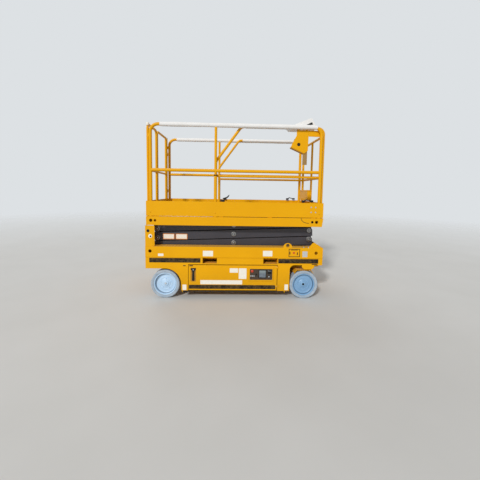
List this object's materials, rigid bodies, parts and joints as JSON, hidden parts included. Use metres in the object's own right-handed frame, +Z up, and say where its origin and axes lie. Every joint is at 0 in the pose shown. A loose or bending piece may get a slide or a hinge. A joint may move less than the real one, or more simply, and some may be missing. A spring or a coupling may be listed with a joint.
{
  "type": "scissor lift",
  "caption": "Electric slab scissor lift, stowed: chassis on solid tyres, crossed lifting arms, railed platform with roll-out extension, swing-out trays and entry gate.",
  "frame": {"origin": "on the floor, under the middle of the machine's length and width", "axes": "+X towards the steered front wheels, +Y to the machine's left, +Z up"},
  "size_m": [2.356, 1.17, 2.416],
  "materials": {
    "yellow_paint": "gloss",
    "charcoal_paint": "satin",
    "grey_paint": "satin",
    "black_paint": "satin",
    "pale_tyre": "matte",
    "pin_steel": "satin",
    "rod_chrome": "polished",
    "foam": "matte",
    "pale_plastic": "matte",
    "dark_plastic": "matte"
  },
  "bodies": {
    "chassis": {"chassis_frame": "yellow_paint", "ladder": "yellow_paint", "rear_axle": "charcoal_paint"},
    "knuckle_left": {"knuckle_left": "yellow_paint"},
    "knuckle_right": {"knuckle_right": "yellow_paint"},
    "tie_rod": {"tie_rod": "pin_steel"},
    "wheel_front_left": {"tyre_front_left": "pale_tyre", "rim_front_left": "grey_paint"},
    "wheel_front_right": {"tyre_front_right": "pale_tyre", "rim_front_right": "grey_paint"},
    "wheel_rear_left": {"tyre_rear_left": "pale_tyre", "rim_rear_left": "grey_paint"},
    "wheel_rear_right": {"tyre_rear_right": "pale_tyre", "rim_rear_right": "grey_paint"},
    "swing_tray_right": {"door_right": "yellow_paint", "tray_right": "yellow_paint", "control_panel": "dark_plastic", "hydraulic_unit": "black_paint"},
    "swing_tray_left": {"door_left": "yellow_paint", "tray_left": "yellow_paint", "batteries": "dark_plastic"},
    "guard_left": {"guard_left": "black_paint"},
    "guard_right": {"guard_right": "black_paint"},
    "outer_1": {"outer_arms_1": "charcoal_paint", "scissor_pins_1": "pin_steel"},
    "inner_1": {"inner_arms_1": "charcoal_paint"},
    "outer_2": {"outer_arms_2": "charcoal_paint", "scissor_pins_2": "pin_steel"},
    "inner_2": {"inner_arms_2": "charcoal_paint"},
    "outer_3": {"outer_arms_3": "charcoal_paint", "scissor_pins_3": "pin_steel"},
    "inner_3": {"inner_arms_3": "charcoal_paint"},
    "outer_4": {"outer_arms_4": "charcoal_paint", "scissor_pins_4": "pin_steel"},
    "inner_4": {"inner_arms_4": "charcoal_paint"},
    "lower_slider": {"lower_slide_blocks": "dark_plastic"},
    "upper_slider": {"upper_slide_blocks": "dark_plastic"},
    "barrel": {"cylinder_barrel": "black_paint"},
    "rod": {"cylinder_rod": "rod_chrome"},
    "platform": {"platform_deck": "yellow_paint", "toe_boards": "yellow_paint", "main_rails": "yellow_paint", "rail_sleeves": "foam"},
    "gate": {"gate": "yellow_paint", "gate_toe": "yellow_paint"},
    "extension": {"extension_deck": "yellow_paint", "extension_rails": "yellow_paint", "control_box_guard": "yellow_paint", "control_box": "pale_plastic", "document_box": "yellow_paint"}
  },
  "joints": [
    {"name": "lift", "type": "hinge", "parent": "chassis", "child": "outer_1", "pos_m": [-1.06, 0, 0.541], "axis": [0, -1, 0], "range_deg": [0, 58.1]},
    {"name": "cross_1", "type": "hinge", "parent": "outer_1", "child": "inner_1", "pos_m": [-0.0165, 0, 0.60275], "axis": [0, -1, 0], "range_deg": [-116.3, 0]},
    {"name": "link_1", "type": "hinge", "parent": "inner_1", "child": "outer_2", "pos_m": [-1.06, 0, 0.6645], "axis": [0, -1, 0], "range_deg": [0, 116.3]},
    {"name": "cross_2", "type": "hinge", "parent": "outer_2", "child": "inner_2", "pos_m": [-0.0165, 0, 0.72625], "axis": [0, -1, 0], "range_deg": [-116.3, 0]},
    {"name": "link_2", "type": "hinge", "parent": "inner_2", "child": "outer_3", "pos_m": [-1.06, 0, 0.788], "axis": [0, -1, 0], "range_deg": [0, 116.3]},
    {"name": "cross_3", "type": "hinge", "parent": "outer_3", "child": "inner_3", "pos_m": [-0.0165, 0, 0.84975], "axis": [0, -1, 0], "range_deg": [-116.3, 0]},
    {"name": "link_3", "type": "hinge", "parent": "inner_3", "child": "outer_4", "pos_m": [-1.06, 0, 0.9115], "axis": [0, -1, 0], "range_deg": [0, 116.3]},
    {"name": "cross_4", "type": "hinge", "parent": "outer_4", "child": "inner_4", "pos_m": [-0.0165, 0, 0.97325], "axis": [0, -1, 0], "range_deg": [-116.3, 0]},
    {"name": "platform_level", "type": "hinge", "parent": "inner_4", "child": "platform", "pos_m": [-1.06, 0, 1.035], "axis": [0, -1, 0], "range_deg": [0, 58.15]},
    {"name": "lower_block_level", "type": "hinge", "parent": "inner_1", "child": "lower_slider", "pos_m": [1.027, 0, 0.541], "axis": [0, -1, 0], "range_deg": [0, 58.15]},
    {"name": "upper_block_level", "type": "hinge", "parent": "outer_4", "child": "upper_slider", "pos_m": [1.027, 0, 1.035], "axis": [0, -1, 0], "range_deg": [-58.15, 0]},
    {"name": "barrel_swing", "type": "hinge", "parent": "inner_1", "child": "barrel", "pos_m": [-0.82541, 0, 0.65062], "axis": [0, -1, 0], "range_deg": [0, 124]},
    {"name": "rod_stroke", "type": "slide", "parent": "barrel", "child": "rod", "axis": [0.9957, 0, 0.0931], "range_m": [0, 0.7555]},
    {"name": "guard_left_drop", "type": "hinge", "parent": "chassis", "child": "guard_left", "pos_m": [0, 0.566, 0.093], "axis": [1, 0, 0], "range_deg": [0, 90.1]},
    {"name": "guard_right_drop", "type": "hinge", "parent": "chassis", "child": "guard_right", "pos_m": [0, -0.566, 0.093], "axis": [-1, 0, 0], "range_deg": [0, 90.1]},
    {"name": "steer", "type": "hinge", "parent": "chassis", "child": "knuckle_left", "pos_m": [0.937, 0.4, 0.1905], "axis": [0, 0, 1], "range_deg": [-70, 70]},
    {"name": "steer_right", "type": "hinge", "parent": "chassis", "child": "knuckle_right", "pos_m": [0.937, -0.4, 0.1905], "axis": [0, 0, 1], "range_deg": [-70, 70]},
    {"name": "tie_rod_turn", "type": "hinge", "parent": "knuckle_left", "child": "tie_rod", "pos_m": [0.827, 0.4, 0.282], "axis": [0, 0, 1], "range_deg": [-70, 70]},
    {"name": "wheel_front_left_roll", "type": "hinge", "parent": "knuckle_left", "child": "wheel_front_left", "pos_m": [0.937, 0.5095, 0.1905], "axis": [0, 1, 0], "continuous": true},
    {"name": "wheel_front_right_roll", "type": "hinge", "parent": "knuckle_right", "child": "wheel_front_right", "pos_m": [0.937, -0.5095, 0.1905], "axis": [0, 1, 0], "continuous": true},
    {"name": "wheel_rear_left_roll", "type": "hinge", "parent": "chassis", "child": "wheel_rear_left", "pos_m": [-0.923, 0.5095, 0.1905], "axis": [0, 1, 0], "continuous": true},
    {"name": "wheel_rear_right_roll", "type": "hinge", "parent": "chassis", "child": "wheel_rear_right", "pos_m": [-0.923, -0.5095, 0.1905], "axis": [0, 1, 0], "continuous": true},
    {"name": "tray_right_swing", "type": "hinge", "parent": "chassis", "child": "swing_tray_right", "pos_m": [0.581, -0.576, 0.15], "axis": [0, 0, 1], "range_deg": [0, 90]},
    {"name": "tray_left_swing", "type": "hinge", "parent": "chassis", "child": "swing_tray_left", "pos_m": [0.581, 0.576, 0.15], "axis": [0, 0, -1], "range_deg": [0, 90]},
    {"name": "deck_extend", "type": "slide", "parent": "platform", "child": "extension", "axis": [1, 0, 0], "range_m": [0, 0.9]},
    {"name": "gate_swing", "type": "hinge", "parent": "platform", "child": "gate", "pos_m": [-1.142, 0.507, 1.4], "axis": [0, 0, 1], "range_deg": [0, 90]}
  ],
  "couplings": [
    {"joint": "cross_1", "follows": "lift", "ratio": -2},
    {"joint": "link_1", "follows": "lift", "ratio": 2},
    {"joint": "cross_2", "follows": "lift", "ratio": -2},
    {"joint": "link_2", "follows": "lift", "ratio": 2},
    {"joint": "cross_3", "follows": "lift", "ratio": -2},
    {"joint": "link_3", "follows": "lift", "ratio": 2},
    {"joint": "cross_4", "follows": "lift", "ratio": -2},
    {"joint": "platform_level", "follows": "lift", "ratio": 1},
    {"joint": "lower_block_level", "follows": "lift", "ratio": 1},
    {"joint": "upper_block_level", "follows": "lift", "ratio": -1},
    {"joint": "barrel_swing", "follows": "lift", "ratio": 2.1305},
    {"joint": "rod_stroke", "follows": "lift", "m_per_rad": 0.74402},
    {"joint": "guard_left_drop", "follows": "lift", "ratio": 1.5491},
    {"joint": "guard_right_drop", "follows": "lift", "ratio": 1.5491},
    {"joint": "steer_right", "follows": "steer", "ratio": 1},
    {"joint": "tie_rod_turn", "follows": "steer", "ratio": -1}
  ]
}
